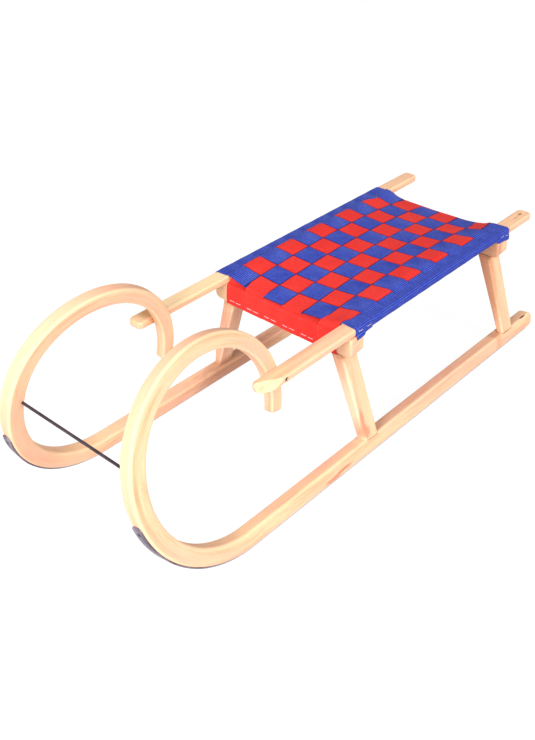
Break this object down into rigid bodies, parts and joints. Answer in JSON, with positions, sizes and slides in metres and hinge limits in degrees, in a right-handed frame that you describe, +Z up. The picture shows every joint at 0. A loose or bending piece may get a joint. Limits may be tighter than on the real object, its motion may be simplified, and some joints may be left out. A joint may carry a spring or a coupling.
{
  "type": "horn sled",
  "caption": "Wooden horn sled with bent runners that curl up into horns, raked trestles, two side rails and a woven seat.",
  "frame": {"origin": "on the ground, under the middle of the sled's length and width", "axes": "+X forwards to the horns, +Y to the sled's left, +Z up"},
  "size_m": [1.1, 0.3904, 0.3844],
  "materials": {
    "beech": "satin varnish",
    "steel": "brushed",
    "rod": "dark, satin",
    "screw": "zinc plated",
    "red_webbing": "woven, matte",
    "blue_webbing": "woven, matte"
  },
  "bodies": {
    "root": {"runner_left": "beech", "runner_right": "beech", "yoke_front": "beech", "yoke_rear": "beech", "leg_front_left": "beech", "leg_front_right": "beech", "leg_rear_left": "beech", "leg_rear_right": "beech", "rail_left": "beech", "rail_right": "beech", "shoe_left": "steel", "shoe_right": "steel", "tie_rod": "rod", "horn_screws": "screw", "strap_long_1": "red_webbing", "strap_long_2": "red_webbing", "strap_long_3": "red_webbing", "strap_long_4": "red_webbing", "strap_long_5": "red_webbing", "strap_long_6": "red_webbing", "strap_cross_1": "blue_webbing", "strap_cross_2": "blue_webbing", "strap_cross_3": "blue_webbing", "strap_cross_4": "blue_webbing", "strap_cross_5": "blue_webbing", "strap_cross_6": "blue_webbing", "strap_cross_7": "blue_webbing", "strap_cross_8": "blue_webbing", "strap_cross_9": "blue_webbing", "strap_cross_10": "blue_webbing", "strap_cross_11": "blue_webbing"}
  },
  "joints": []
}
